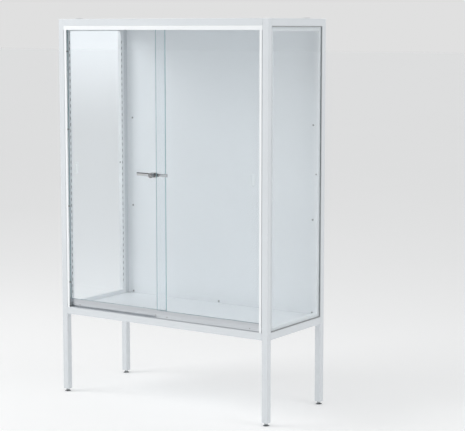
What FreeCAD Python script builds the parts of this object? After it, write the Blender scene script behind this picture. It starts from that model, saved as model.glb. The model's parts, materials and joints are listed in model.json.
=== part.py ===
"""Free-standing white steel showcase with two sliding glass doors and a clip-on ratchet lock.

Millimetres, +Z up, the doors face -Y.  The cabinet is laid out about the centre of its own
footprint, and every piece is moved back by Y_SHIFT when it is written, so that the origin is the
middle of the whole object's footprint, lock included, on the floor.
"""
import FreeCAD, Part
import math
import os

os.makedirs("parts", exist_ok=True)

# ---------------------------------------------------------------- driving dimensions
WIDTH, DEPTH, HEIGHT = 980.0, 410.0, 1500.0   # outside of the cabinet
TUBE = 25.0                # square tube of the posts
WALL = 1.5                 # wall of the frame tubes
TUBE_RADIUS = 1.6          # outer corner radius of the frame tubes
LEG_BOTTOM = 12.0          # lower end of the posts, above the floor
FLOOR_Z = 350.0            # top of the bottom rails
BOTTOM_RAIL_H = 28.0
TOP_RAIL_H = 24.4          # front and rear top rails
TOP_SIDE_RAIL_H = 26.4     # side top rails are a little deeper
TOP_SHEET = 1.6            # top panel thickness
SHEET = 1.2                # base panel, upstand, jambs
BACK_SHEET = 1.0
BACK_RECESS = 5.0          # back panel front face, in from the rear of the posts

GLASS = 5.0
GLASS_INSET = 3.0          # side glass outer face, in from the outside of the posts
GLASS_CLEARANCE = 2.0      # gap round the edge of the side glass
GASKET_LIP = 0.8           # gasket thickness on each face of the glass
GASKET_COVER = 1.5         # how far the gasket laps over the glass
STANDARD_DEPTH = 18.5      # shelf standard, front to back
BEAD_BOTTOM_H, BEAD_TOP_H = 17.0, 19.0
BEAD_RADIUS = 0.6          # outer corner radius of the standards and beads
UPSTAND_H = 24.0           # folded strip along the rear of the base

SLOT_PITCH, SLOT_COUNT, SLOT_FIRST_Z = 25.0, 41, 407.0
SLOT_W, SLOT_H = 3.5, 12.5
SLOT_EDGE = 5.0            # slot centre line, in from the edge nearest the other standard

DOOR_THICK = 9.5           # aluminium bottom rail of a door
FRONT_DOOR_Y, REAR_DOOR_Y = -197.25, -185.75    # middle planes of the two doors
DOOR_OUTER_X = 460.5       # closing edge of each door
FRONT_DOOR_INNER_X, REAR_DOOR_INNER_X = -19.0, 18.5   # meeting edges of the right and left door
RAIL_BOTTOM_Z, RAIL_TOP_Z = 353.0, 383.0
RAIL_WALL = 1.5
CHANNEL_PROUD = 0.5        # the vinyl channel stands this far out of the rail
POCKET_Z = 373.0           # floor of the pocket that holds the glass
CAVITY_TOP_Z = 371.0       # roof of the cavity that holds the rollers
GLASS_TOP_Z = 1466.0
PULL_W, PULL_H, PULL_DEPTH = 15.0, 46.0, 1.2
PULL_Z, PULL_FROM_EDGE = 913.0, 38.0

TREAD_R, FLANGE_R, ROLLER_BORE_R, AXLE_R = 7.0, 8.2, 1.55, 1.5
TREAD_W, FLANGE_W = 2.4, 1.2
ROLLER_FROM_END = 50.0
RIB_W, RUN_CLEARANCE = 1.6, 0.05
TRACK_GAP = 0.3            # lower track to the frame round it
TRACK_LIP = 1.0            # thickness and height of the lips along its edges
AXLE_Z = 361.0

JAMB_GAP = 2.0             # seam between a post and its jamb
JAMB_W = 10.0              # front flange
JAMB_REAR_W = 4.0          # rear flange, short to leave the shelf slots clear
JAMB_SCREW_Z = (450.0, 757.5, 1065.5, 1373.0)
SEAL_INSET, SEAL_FIRST_Z = 3.0, 370.0
BUMPER_R, BUMPER_H, BUMPER_Z = 2.4, 1.15, (520.0, 1300.0)
UPPER_TRACK_Z = 1457.5
GUIDE_LIP = 1.5            # height of the track below its nylon guide
GUIDE_GROOVE_W, GUIDE_GROOVE_TOP = 6.5, 1470.0

BAR_Z, BAR_H, BAR_THICK, BAR_LEFT_X = 906.0, 12.0, 2.0, -118.0
BAR_FRONT_Y = -191.7
BAR_GAP = 0.1              # hook to the rear face of the glass
BAR_SLACK = 0.3            # lock case round the bar
HOOK_WEB, HOOK_LEG, HOOK_REACH, PAD_THICK = 2.5, 2.0, 18.0, 3.5
TOOTH_PITCH, TOOTH_DEPTH, TOOTH_FRACTION, PLAIN_END = 3.0, 1.3, 0.8, 3.0
RIVET_X, RIVET_R, RIVET_H = 3.0, 4.2, 1.2
LOCK_X, LOCK_W, LOCK_H = -33.0, 26.0, 19.0
LOCK_BLOCK_FRONT_Y, LOCK_BLOCK_REAR_Y = -199.0, -188.6
BARREL_R, BARREL_FRONT_Y = 10.0, -219.0
PLUG_R, PLUG_CLEARANCE, PLUG_FRONT_Y, PLUG_REAR_Y = 6.0, 0.05, -220.0, -204.6
LOCK_CORNER_R = 2.5
LOCK_CAVITY_R, LOCK_CAVITY_DEPTH = 8.0, 9.6
PLUG_END_GAP = 0.2
TAIL_R, TAIL_L = 2.0, 6.0
KEY_W, KEY_H, KEY_DEPTH = 1.4, 7.0, 9.0
CAM_R, CAM_REACH, CAM_W, CAM_THICK, CAM_BACK = 4.0, 7.2, 4.0, 2.5, 2.0

FOOT_R, FOOT_H, FOOT_BEVEL = 12.5, 6.5, 4.0
NUT_R, NUT_H = 7.5, 4.0    # hexagon across corners, above the foot disc
STEM_R, STEM_TOP_Z = 4.0, 45.0
INSERT_H, INSERT_CLEARANCE = 20.0, 0.05

# ---------------------------------------------------------------- derived planes
X_OUT, Y_OUT = WIDTH / 2, DEPTH / 2
X_IN, Y_IN = X_OUT - TUBE, Y_OUT - TUBE        # inner faces of the posts
RAIL_Z = HEIGHT - TOP_SHEET                    # top of the posts and top rails
TOP_FRONT_Z = RAIL_Z - TOP_RAIL_H
TOP_SIDE_Z = RAIL_Z - TOP_SIDE_RAIL_H
BACK_Y = Y_OUT - BACK_RECESS
GLASS_OUT_X = X_OUT - GLASS_INSET
GLASS_IN_X = GLASS_OUT_X - GLASS
BEAD_X = GLASS_IN_X - GASKET_LIP               # outer face of the beads and standards
JAMB_WEB_X = X_IN - JAMB_GAP
Y_SHIFT = -(PLUG_FRONT_Y + Y_OUT) / 2          # centres the object with its lock on the origin

X, Y, Z = FreeCAD.Vector(1, 0, 0), FreeCAD.Vector(0, 1, 0), FreeCAD.Vector(0, 0, 1)
SIDES = (("left", -1), ("right", 1))
ENDS = (("front", -1), ("rear", 1))


# ---------------------------------------------------------------- building blocks
def block(x0, x1, y0, y1, z0, z1):
    """A box between two corners, given in either order along each axis."""
    low = FreeCAD.Vector(min(x0, x1), min(y0, y1), min(z0, z1))
    return Part.makeBox(abs(x1 - x0), abs(y1 - y0), abs(z1 - z0), low)


def rod(radius, start, direction, length):
    return Part.makeCylinder(radius, length, FreeCAD.Vector(*start), direction)


def edges_along(shape, direction):
    """The straight edges of a shape that run along a direction."""
    found = []
    for edge in shape.Edges:
        run = edge.lastVertex().Point - edge.firstVertex().Point
        if run.Length > 1e-6 and abs(run.normalize().dot(direction)) > 0.999:
            found.append(edge)
    return found


def tube(corners, direction, wall, radius):
    """A rectangular tube filling a box, open at both ends along a direction."""
    outer = block(*corners)
    outer = outer.makeFillet(radius, edges_along(outer, direction))
    inset = [0 if direction[i] else wall for i in range(3)]
    x0, x1, y0, y1, z0, z1 = corners
    bore = block(min(x0, x1) + inset[0], max(x0, x1) - inset[0],
                 min(y0, y1) + inset[1], max(y0, y1) - inset[1],
                 min(z0, z1) + inset[2], max(z0, z1) - inset[2])
    return outer.cut(bore)


def pan_screw(seat, out, head_r, head_h, shank_r, shank_length):
    """A pan-head screw: its head stands on the seat point and its shank goes the other way."""
    head = rod(head_r, seat, out, head_h)
    rim = [e for e in head.Edges if e.Closed and (e.CenterOfMass - FreeCAD.Vector(*seat)).Length > head_h / 2]
    head = head.makeFillet(head_h * 0.6, rim)
    return head.fuse(rod(shank_r, seat, out * -1, shank_length)).removeSplitter()


def flat_screw(seat, head_r, shank_r, shank_length):
    """A countersunk screw pointing down: its flat head is level with the seat point."""
    head = Part.makeCone(head_r, shank_r, head_r - shank_r, FreeCAD.Vector(*seat), Z * -1)
    return head.fuse(rod(shank_r, seat, Z * -1, shank_length)).removeSplitter()


def drilled(shape, seats, inward, radius, depth):
    """A shape with a round hole of the given depth under each seat point."""
    for seat in seats:
        shape = shape.cut(rod(radius, seat, inward, depth))
    return shape


def without(shape, solids):
    """A shape with some solids cut out of it."""
    for solid in solids:
        shape = shape.cut(solid)
    return shape


def both_sides(points):
    return [(side * x, y, z) for _, side in SIDES for x, y, z in points]


def save(name, *solids):
    """Write one node, moved from the cabinet's centre to the object's centre."""
    shape = solids[0] if len(solids) == 1 else Part.makeCompound(list(solids))
    shape = shape.copy()
    shape.translate(FreeCAD.Vector(0, Y_SHIFT, 0))
    shape.exportStep("parts/%s.step" % name)


# ---------------------------------------------------------------- screw positions
BUTTON_R, BUTTON_H, BUTTON_SHANK_R, BUTTON_SHANK_L = 11.5, 3.0, 2.0, 8.0
BUTTON_X, BUTTON_Y = 400.0, 87.0      # along the front and rear rails, and along the side rails
TOP_BUTTONS = [(s * x, s * y, HEIGHT) for _, s in SIDES
               for x, y in ((BUTTON_X, Y_OUT - TUBE / 2), (X_OUT - TUBE / 2, BUTTON_Y))]
BACK_SCREW_R, BACK_SCREW_H, BACK_SHANK_R, BACK_SHANK_L = 4.0, 2.2, 2.0, 4.6
BACK_SCREW_X, BACK_SCREW_Z = 437.0, (725.0, 1093.0, 1461.0)
BACK_SCREWS = both_sides([(BACK_SCREW_X, BACK_Y, z) for z in BACK_SCREW_Z])
UPSTAND_SCREW_H = 9.0      # above the bottom rails
UPSTAND_SCREWS = [(x, BACK_Y - SHEET, FLOOR_Z + UPSTAND_SCREW_H) for x in (-BACK_SCREW_X, 0, BACK_SCREW_X)]
BASE_SCREW_X, BASE_SCREW_IN, BASE_HEAD_R, BASE_SHANK_R, BASE_SHANK_L = 217.0, 6.0, 4.0, 2.0, 7.2
BASE_SCREWS = both_sides([(BASE_SCREW_X, Y_IN + BASE_SCREW_IN, FLOOR_Z + SHEET)])
STANDARD_SCREW_X, STANDARD_SCREW_Z = 474.0, 907.0
STANDARD_HEAD_R, STANDARD_HEAD_H, STANDARD_SHANK_R, STANDARD_SHANK_L = 3.2, 1.8, 1.6, 8.0
JAMB_SCREW_R, JAMB_HEAD_R, JAMB_SCREW_Y, JAMB_SCREW_L = 1.8, 3.4, -191.5, 9.2
LUG_W, LUG_H, LUG_THICK = 40.0, 25.0, 2.0
BASE_LUG_H = 20.0          # the lugs on the rear bottom rail, above its top
BASE_SCREW_SOLIDS = [flat_screw(seat, BASE_HEAD_R, BASE_SHANK_R, BASE_SHANK_L) for seat in BASE_SCREWS]


# ---------------------------------------------------------------- frame
def back_lug(x0, x1, z0, z1):
    """A flat lug behind the back panel, which its screws go into."""
    lug_y = BACK_Y + BACK_SHEET
    return block(x0, x1, lug_y, lug_y + LUG_THICK, z0, z1)


def make_posts():
    for end, e in ENDS:
        for side, s in SIDES:
            post = tube((s * X_IN, s * X_OUT, e * Y_IN, e * Y_OUT, LEG_BOTTOM, RAIL_Z), Z, WALL, TUBE_RADIUS)
            if end == "rear":
                for z in BACK_SCREW_Z:
                    half = min(LUG_H / 2, TOP_SIDE_Z - z)
                    post = post.fuse(back_lug(s * X_IN, s * (X_IN - LUG_W), z - half, z + half))
                post = drilled(post, BACK_SCREWS, Y, BACK_SHANK_R, BACK_SHANK_L)
            save("post_%s_%s" % (end, side), post)


def make_rails():
    for end, e in ENDS:
        span = (-X_IN, X_IN, e * Y_IN, e * Y_OUT)
        top = tube(span + (TOP_FRONT_Z, RAIL_Z), X, WALL, TUBE_RADIUS)
        save("top_rail_%s" % end, drilled(top, TOP_BUTTONS, Z * -1, BUTTON_SHANK_R, BUTTON_SHANK_L))
        bottom = tube(span + (FLOOR_Z - BOTTOM_RAIL_H, FLOOR_Z), X, WALL, TUBE_RADIUS)
        if end == "rear":
            for x, _, _ in UPSTAND_SCREWS:
                bottom = bottom.fuse(back_lug(x - LUG_W / 2, x + LUG_W / 2,
                                              FLOOR_Z - WALL, FLOOR_Z + BASE_LUG_H))
            bottom = drilled(bottom, UPSTAND_SCREWS, Y, BACK_SHANK_R, BACK_SHANK_L)
            bottom = without(bottom, BASE_SCREW_SOLIDS)
        save("bottom_rail_%s" % end, bottom)
    for side, s in SIDES:
        span = (s * X_IN, s * X_OUT, -Y_IN, Y_IN)
        top = tube(span + (TOP_SIDE_Z, RAIL_Z), Y, WALL, TUBE_RADIUS)
        save("top_rail_%s" % side, drilled(top, TOP_BUTTONS, Z * -1, BUTTON_SHANK_R, BUTTON_SHANK_L))
        save("bottom_rail_%s" % side, tube(span + (FLOOR_Z - BOTTOM_RAIL_H, FLOOR_Z), Y, WALL, TUBE_RADIUS))


def make_panels():
    top = block(-X_OUT, X_OUT, -Y_OUT, Y_OUT, RAIL_Z, HEIGHT)
    top = top.makeFillet(TUBE_RADIUS, edges_along(top, Z))
    save("top_panel", drilled(top, TOP_BUTTONS, Z * -1, BUTTON_SHANK_R, BUTTON_SHANK_L))

    base = block(-X_IN, X_IN, -Y_IN + SHEET, BACK_Y - SHEET, FLOOR_Z, FLOOR_Z + SHEET)
    save("base_panel", without(base, BASE_SCREW_SOLIDS))

    upstand = block(-X_IN, X_IN, BACK_Y - SHEET, BACK_Y, FLOOR_Z, FLOOR_Z + UPSTAND_H)
    save("base_upstand", drilled(upstand, UPSTAND_SCREWS, Y, BACK_SHANK_R, BACK_SHANK_L))

    back = block(-X_IN, X_IN, BACK_Y, BACK_Y + BACK_SHEET, FLOOR_Z, TOP_FRONT_Z)
    back = drilled(back, BACK_SCREWS + UPSTAND_SCREWS, Y, BACK_SHANK_R, BACK_SHANK_L)
    save("back_panel", back)


# ---------------------------------------------------------------- side glazing
def make_standards():
    """Slotted tubes beside the posts that hold the side glass and take the shelf brackets."""
    for end, e in ENDS:
        near_y = e * (Y_IN - STANDARD_DEPTH)
        for side, s in SIDES:
            standard = tube((s * X_IN, s * BEAD_X, near_y, e * Y_IN, FLOOR_Z, TOP_SIDE_Z),
                            Z, SHEET, BEAD_RADIUS)
            slot_y = near_y + e * SLOT_EDGE
            for k in range(SLOT_COUNT):
                z = SLOT_FIRST_Z + SLOT_PITCH * k
                standard = standard.cut(block(s * (X_IN - 1), s * (X_IN + SHEET + 1),
                                              slot_y - SLOT_W / 2, slot_y + SLOT_W / 2,
                                              z - SLOT_H / 2, z + SLOT_H / 2))
            seat = (s * STANDARD_SCREW_X, near_y, STANDARD_SCREW_Z)
            standard = drilled(standard, [seat], Y * e, STANDARD_SHANK_R, STANDARD_SHANK_L)
            save("shelf_standard_%s_%s" % (end, side), standard)


def make_side_glazing():
    gaskets = []
    reach = Y_IN - STANDARD_DEPTH
    for side, s in SIDES:
        beads = [tube((s * X_IN, s * BEAD_X, -reach, reach, z0, z1), Y, SHEET, BEAD_RADIUS)
                 for z0, z1 in ((FLOOR_Z, FLOOR_Z + BEAD_BOTTOM_H), (TOP_SIDE_Z - BEAD_TOP_H, TOP_SIDE_Z))]
        save("glazing_beads_%s" % side, *beads)

        pane = block(s * GLASS_IN_X, s * GLASS_OUT_X, -Y_IN + GLASS_CLEARANCE, Y_IN - GLASS_CLEARANCE,
                     FLOOR_Z + GLASS_CLEARANCE, TOP_SIDE_Z - GLASS_CLEARANCE)
        save("side_glass_%s" % side, pane)

        ring = block(s * BEAD_X, s * (GLASS_OUT_X + GASKET_LIP), -Y_IN, Y_IN, FLOOR_Z, TOP_SIDE_Z)
        edge = GLASS_CLEARANCE + GASKET_COVER
        window = block(0, s * X_OUT, -Y_IN + edge, Y_IN - edge, FLOOR_Z + edge, TOP_SIDE_Z - edge)
        gaskets.append(ring.cut(window).cut(pane))
    save("side_gaskets", *gaskets)


# ---------------------------------------------------------------- door opening
def make_tracks():
    half = JAMB_WEB_X - SHEET - TRACK_GAP
    front, rear = -Y_OUT + SHEET + TRACK_GAP, -Y_IN - SHEET
    lower = block(-half, half, front, rear, FLOOR_Z, FLOOR_Z + SHEET)
    for y0, y1 in ((front, front + TRACK_LIP), (rear - TRACK_LIP, rear)):
        lower = lower.fuse(block(-half, half, y0, y1, FLOOR_Z, FLOOR_Z + SHEET + TRACK_LIP))
    for y in (FRONT_DOOR_Y, REAR_DOOR_Y):
        lower = lower.fuse(block(-half, half, y - RIB_W / 2, y + RIB_W / 2,
                                 FLOOR_Z, AXLE_Z - TREAD_R - RUN_CLEARANCE))
    save("lower_track", lower.removeSplitter())

    upper = block(-X_IN, X_IN, -Y_OUT, -Y_IN, UPPER_TRACK_Z, TOP_FRONT_Z)
    hollow = (-Y_OUT + SHEET, -Y_IN - SHEET, UPPER_TRACK_Z, TOP_FRONT_Z - SHEET)
    save("upper_track", upper.cut(block(-X_IN, X_IN, *hollow)))

    guide = block(-X_IN, X_IN, hollow[0], hollow[1], UPPER_TRACK_Z + GUIDE_LIP, hollow[3])
    for y in (FRONT_DOOR_Y, REAR_DOOR_Y):
        guide = guide.cut(block(-X_IN, X_IN, y - GUIDE_GROOVE_W / 2, y + GUIDE_GROOVE_W / 2,
                                UPPER_TRACK_Z, GUIDE_GROOVE_TOP))
    save("upper_guide", guide)


def make_jambs():
    seals, screws, bumpers = [], [], []
    for side, s in SIDES:
        seats = [(s * (JAMB_WEB_X - SHEET), JAMB_SCREW_Y, z) for z in JAMB_SCREW_Z]
        heads = [rod(JAMB_HEAD_R, seat, X * s, SHEET) for seat in seats]
        shanks = [rod(JAMB_SCREW_R, seat, X * s, JAMB_SCREW_L) for seat in seats]

        jamb = block(s * JAMB_WEB_X, s * (JAMB_WEB_X - JAMB_W), -Y_OUT, -Y_IN + SHEET,
                     FLOOR_Z, UPPER_TRACK_Z)
        jamb = jamb.cut(block(s * (JAMB_WEB_X - SHEET), 0, -Y_OUT + SHEET, -Y_IN,
                              FLOOR_Z, UPPER_TRACK_Z))
        jamb = jamb.cut(block(s * (JAMB_WEB_X - JAMB_REAR_W), 0, -Y_IN, -Y_IN + SHEET,
                              FLOOR_Z, UPPER_TRACK_Z))
        seal = block(s * JAMB_WEB_X, s * X_IN, -Y_OUT + SEAL_INSET, -Y_IN - SEAL_INSET,
                     SEAL_FIRST_Z, UPPER_TRACK_Z)
        for head, shank in zip(heads, shanks):
            jamb = jamb.cut(head)
            seal = seal.cut(shank)
            screws.append(head.fuse(shank.common(block(0, s * X_IN, -Y_OUT, 0, 0, HEIGHT))).removeSplitter())
        save("door_jamb_%s" % side, jamb)
        seals.append(seal)

        door_y = REAR_DOOR_Y if side == "left" else FRONT_DOOR_Y
        bumpers += [rod(BUMPER_R, (s * (JAMB_WEB_X - SHEET), door_y, z), X * -s, BUMPER_H) for z in BUMPER_Z]
    save("jamb_seals", *seals)
    save("jamb_screws", *screws)
    save("door_bumpers", *bumpers)


# ---------------------------------------------------------------- doors
def make_door(name, middle_y, x0, x1, pull_x):
    """One sliding door: glass in a vinyl channel in an aluminium rail, on two grooved rollers."""
    half = DOOR_THICK / 2
    inner = half - RAIL_WALL
    roller_x = (x0 + ROLLER_FROM_END, x1 - ROLLER_FROM_END)
    axles = [rod(AXLE_R, (x, middle_y - half, AXLE_Z), Y, DOOR_THICK) for x in roller_x]

    rail = block(x0, x1, middle_y - half, middle_y + half, RAIL_BOTTOM_Z, RAIL_TOP_Z)
    rail = rail.cut(block(x0, x1, middle_y - inner, middle_y + inner, RAIL_BOTTOM_Z, CAVITY_TOP_Z))
    rail = rail.cut(block(x0, x1, middle_y - inner, middle_y + inner, POCKET_Z, RAIL_TOP_Z))
    for axle in axles:
        rail = rail.cut(axle)
    save("%s_rail" % name, rail)
    save("%s_axles" % name, *axles)

    glass = block(x0, x1, middle_y - GLASS / 2, middle_y + GLASS / 2, POCKET_Z + 1, GLASS_TOP_Z)
    channel = block(x0, x1, middle_y - inner, middle_y + inner, POCKET_Z, RAIL_TOP_Z + CHANNEL_PROUD)
    save("%s_channel" % name, channel.cut(glass))
    save("%s_glass" % name, glass.cut(finger_pull(pull_x, middle_y - GLASS / 2)))

    for side, x in zip(("left", "right"), roller_x):
        save("%s_roller_%s" % (name, side), make_roller(x, middle_y))


def finger_pull(x, face_y):
    """The ground recess in the front face of a door, a slot with round ends."""
    radius = PULL_W / 2
    reach = PULL_H / 2 - radius
    shape = block(x - radius, x + radius, face_y, face_y + PULL_DEPTH, PULL_Z - reach, PULL_Z + reach)
    for end in (-1, 1):
        shape = shape.fuse(rod(radius, (x, face_y, PULL_Z + end * reach), Y, PULL_DEPTH))
    return shape.removeSplitter()


def make_roller(x, middle_y):
    """A grooved roller that straddles the track rib."""
    width = TREAD_W + 2 * FLANGE_W
    roller = rod(FLANGE_R, (x, middle_y - width / 2, AXLE_Z), Y, width)
    groove = rod(FLANGE_R, (x, middle_y - TREAD_W / 2, AXLE_Z), Y, TREAD_W)
    groove = groove.cut(rod(TREAD_R, (x, middle_y - TREAD_W / 2, AXLE_Z), Y, TREAD_W))
    return roller.cut(groove).cut(rod(ROLLER_BORE_R, (x, middle_y - width / 2, AXLE_Z), Y, width))


# ---------------------------------------------------------------- lock
def make_lock_bar():
    """A toothed bar in front of the rear glass, hooked round the glass's free edge."""
    low, high = BAR_Z - BAR_H / 2, BAR_Z + BAR_H / 2
    rear_y = BAR_FRONT_Y + BAR_THICK
    glass_rear_y = REAR_DOOR_Y + GLASS / 2
    hook_x0 = REAR_DOOR_INNER_X + PAD_THICK
    hook_x1 = hook_x0 + HOOK_WEB
    leg_y0 = glass_rear_y + BAR_GAP
    leg_y1 = leg_y0 + HOOK_LEG

    bar = block(BAR_LEFT_X, hook_x1, BAR_FRONT_Y, rear_y, low, high)
    bar = bar.fuse(block(hook_x0, hook_x1, BAR_FRONT_Y, leg_y1, low, high))
    bar = bar.fuse(block(hook_x1 - HOOK_REACH, hook_x1, leg_y0, leg_y1, low, high))
    bar = bar.makeFillet(1.0, [e for e in edges_along(bar, Z) if e.CenterOfMass.x > hook_x1 - 0.1])
    tooth_count = int((LOCK_X - LOCK_W / 2 - BAR_LEFT_X - PLAIN_END) / TOOTH_PITCH)
    for k in range(tooth_count):
        x = BAR_LEFT_X + PLAIN_END + TOOTH_PITCH * k
        notch = Part.Face(Part.makePolygon([
            FreeCAD.Vector(x, BAR_FRONT_Y, low),
            FreeCAD.Vector(x + TOOTH_PITCH * TOOTH_FRACTION, BAR_FRONT_Y, low),
            FreeCAD.Vector(x, BAR_FRONT_Y, low + TOOTH_DEPTH),
            FreeCAD.Vector(x, BAR_FRONT_Y, low)]))
        bar = bar.cut(notch.extrude(Y * BAR_THICK))
    rivet = rod(RIVET_R, (RIVET_X, BAR_FRONT_Y, BAR_Z), Y * -1, RIVET_H)
    save("lock_bar", bar.fuse(rivet).removeSplitter())
    save("lock_bar_pad", block(REAR_DOOR_INNER_X, hook_x0, rear_y, leg_y0, low, high))


def make_lock():
    """The lock case on the bar, its key plug and the cam on the plug's tail."""
    half_w, half_h = LOCK_W / 2, LOCK_H / 2
    case = block(LOCK_X - half_w, LOCK_X + half_w, LOCK_BLOCK_FRONT_Y, LOCK_BLOCK_REAR_Y,
                 BAR_Z - half_h, BAR_Z + half_h)
    case = case.makeFillet(LOCK_CORNER_R, edges_along(case, Y))
    case = case.fuse(rod(BARREL_R, (LOCK_X, BARREL_FRONT_Y, BAR_Z), Y, LOCK_BLOCK_FRONT_Y - BARREL_FRONT_Y))
    slot = block(LOCK_X - half_w, LOCK_X + half_w,
                 BAR_FRONT_Y - BAR_SLACK, BAR_FRONT_Y + BAR_THICK + BAR_SLACK,
                 BAR_Z - BAR_H / 2 - BAR_SLACK, BAR_Z + BAR_H / 2 + BAR_SLACK)
    cavity = rod(LOCK_CAVITY_R, (LOCK_X, PLUG_REAR_Y, BAR_Z), Y, LOCK_CAVITY_DEPTH)
    bore = rod(PLUG_R + PLUG_CLEARANCE, (LOCK_X, BARREL_FRONT_Y, BAR_Z), Y, PLUG_REAR_Y - BARREL_FRONT_Y)
    save("lock_body", case.cut(slot).cut(cavity).cut(bore).removeSplitter())

    plug_rear_y = PLUG_REAR_Y - PLUG_END_GAP
    plug = rod(PLUG_R, (LOCK_X, PLUG_FRONT_Y, BAR_Z), Y, plug_rear_y - PLUG_FRONT_Y)
    plug = plug.fuse(rod(TAIL_R, (LOCK_X, plug_rear_y, BAR_Z), Y, TAIL_L))
    key_way = block(LOCK_X - KEY_W / 2, LOCK_X + KEY_W / 2, PLUG_FRONT_Y, PLUG_FRONT_Y + KEY_DEPTH,
                    BAR_Z - KEY_H / 2, BAR_Z + KEY_H / 2)
    save("lock_plug", plug.cut(key_way).removeSplitter())

    cam_y = PLUG_REAR_Y + CAM_BACK
    cam = rod(CAM_R, (LOCK_X, cam_y, BAR_Z), Y, CAM_THICK)
    cam = cam.fuse(block(LOCK_X - CAM_W / 2, LOCK_X + CAM_W / 2, cam_y, cam_y + CAM_THICK,
                         BAR_Z - CAM_REACH, BAR_Z))
    save("lock_cam", cam.cut(rod(TAIL_R, (LOCK_X, cam_y, BAR_Z), Y, CAM_THICK)).removeSplitter())


# ---------------------------------------------------------------- feet and fasteners
def make_feet():
    inserts = []
    for end, e in ENDS:
        for side, s in SIDES:
            x, y = s * (X_OUT - TUBE / 2), e * (Y_OUT - TUBE / 2)
            half = TUBE / 2 - WALL
            insert = block(x - half, x + half, y - half, y + half, LEG_BOTTOM, LEG_BOTTOM + INSERT_H)
            inserts.append(insert.cut(rod(STEM_R + INSERT_CLEARANCE, (x, y, LEG_BOTTOM), Z, INSERT_H)))

            foot = rod(FOOT_R, (x, y, 0), Z, FOOT_H)
            upper_rim = [edge for edge in foot.Edges if edge.Closed and edge.CenterOfMass.z > FOOT_H / 2]
            foot = foot.makeChamfer(FOOT_BEVEL, upper_rim)
            corners = [FreeCAD.Vector(x + NUT_R * math.cos(k * math.pi / 3),
                                      y + NUT_R * math.sin(k * math.pi / 3), FOOT_H) for k in range(7)]
            nut = Part.Face(Part.makePolygon(corners)).extrude(Z * NUT_H)
            stem = rod(STEM_R, (x, y, FOOT_H), Z, STEM_TOP_Z - FOOT_H)
            save("foot_%s_%s" % (end, side), foot.fuse(nut).fuse(stem).removeSplitter())
    save("leg_inserts", *inserts)


def make_fasteners():
    save("top_panel_buttons", *[
        pan_screw(p, Z, BUTTON_R, BUTTON_H, BUTTON_SHANK_R, BUTTON_SHANK_L) for p in TOP_BUTTONS])
    save("back_panel_screws", *[
        pan_screw(p, Y * -1, BACK_SCREW_R, BACK_SCREW_H, BACK_SHANK_R, BACK_SHANK_L)
        for p in BACK_SCREWS + UPSTAND_SCREWS])
    save("base_panel_screws", *BASE_SCREW_SOLIDS)
    standard_screws = []
    for _, e in ENDS:
        for _, s in SIDES:
            seat = (s * STANDARD_SCREW_X, e * (Y_IN - STANDARD_DEPTH), STANDARD_SCREW_Z)
            standard_screws.append(pan_screw(seat, Y * -e, STANDARD_HEAD_R, STANDARD_HEAD_H,
                                             STANDARD_SHANK_R, STANDARD_SHANK_L))
    save("standard_screws", *standard_screws)


make_posts()
make_rails()
make_panels()
make_standards()
make_side_glazing()
make_tracks()
make_jambs()
make_door("front_door", FRONT_DOOR_Y, FRONT_DOOR_INNER_X, DOOR_OUTER_X, DOOR_OUTER_X - PULL_FROM_EDGE)
make_door("rear_door", REAR_DOOR_Y, -DOOR_OUTER_X, REAR_DOOR_INNER_X, PULL_FROM_EDGE - DOOR_OUTER_X)
make_lock_bar()
make_lock()
make_feet()
make_fasteners()
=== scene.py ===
"""Looks for the free-standing glass showcase, built round its CAD frame. Metres, +Z up, front to -Y."""
import bpy
import bmesh
import json
import math
from mathutils import Matrix, Vector


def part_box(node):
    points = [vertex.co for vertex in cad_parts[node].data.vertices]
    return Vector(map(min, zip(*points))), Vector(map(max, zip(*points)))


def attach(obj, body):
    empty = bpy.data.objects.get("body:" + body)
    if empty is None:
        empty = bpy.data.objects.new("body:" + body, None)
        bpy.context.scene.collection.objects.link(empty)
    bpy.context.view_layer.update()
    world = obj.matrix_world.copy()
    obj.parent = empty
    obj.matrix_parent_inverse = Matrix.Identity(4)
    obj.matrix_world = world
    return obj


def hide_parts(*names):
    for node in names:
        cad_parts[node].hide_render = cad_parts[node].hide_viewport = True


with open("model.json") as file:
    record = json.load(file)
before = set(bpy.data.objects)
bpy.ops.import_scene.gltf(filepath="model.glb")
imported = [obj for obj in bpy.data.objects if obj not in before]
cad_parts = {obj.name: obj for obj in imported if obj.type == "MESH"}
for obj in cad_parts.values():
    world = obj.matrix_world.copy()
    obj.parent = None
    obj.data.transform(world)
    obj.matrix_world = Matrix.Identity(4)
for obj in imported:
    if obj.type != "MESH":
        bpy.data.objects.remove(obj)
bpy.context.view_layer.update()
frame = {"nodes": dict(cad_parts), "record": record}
NODES = frame["nodes"]
MM = 0.001
RIGHT, BACK, UP = Vector((1, 0, 0)), Vector((0, 1, 0)), Vector((0, 0, 1))
SIDES = (("left", -1), ("right", 1))
ENDS = (("front", -1), ("rear", 1))
# The middle of the cabinet in Y, off zero because of the lock in front of the doors.
ROW_SHIFT = (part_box("post_front_left")[0][1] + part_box("post_rear_left")[1][1]) / 2

# Sockets of a colour mix node.
MIX_A, MIX_B, MIX_RESULT = 6, 7, 2
NOISE_LOW, NOISE_HIGH = 0.3, 0.7


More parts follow.
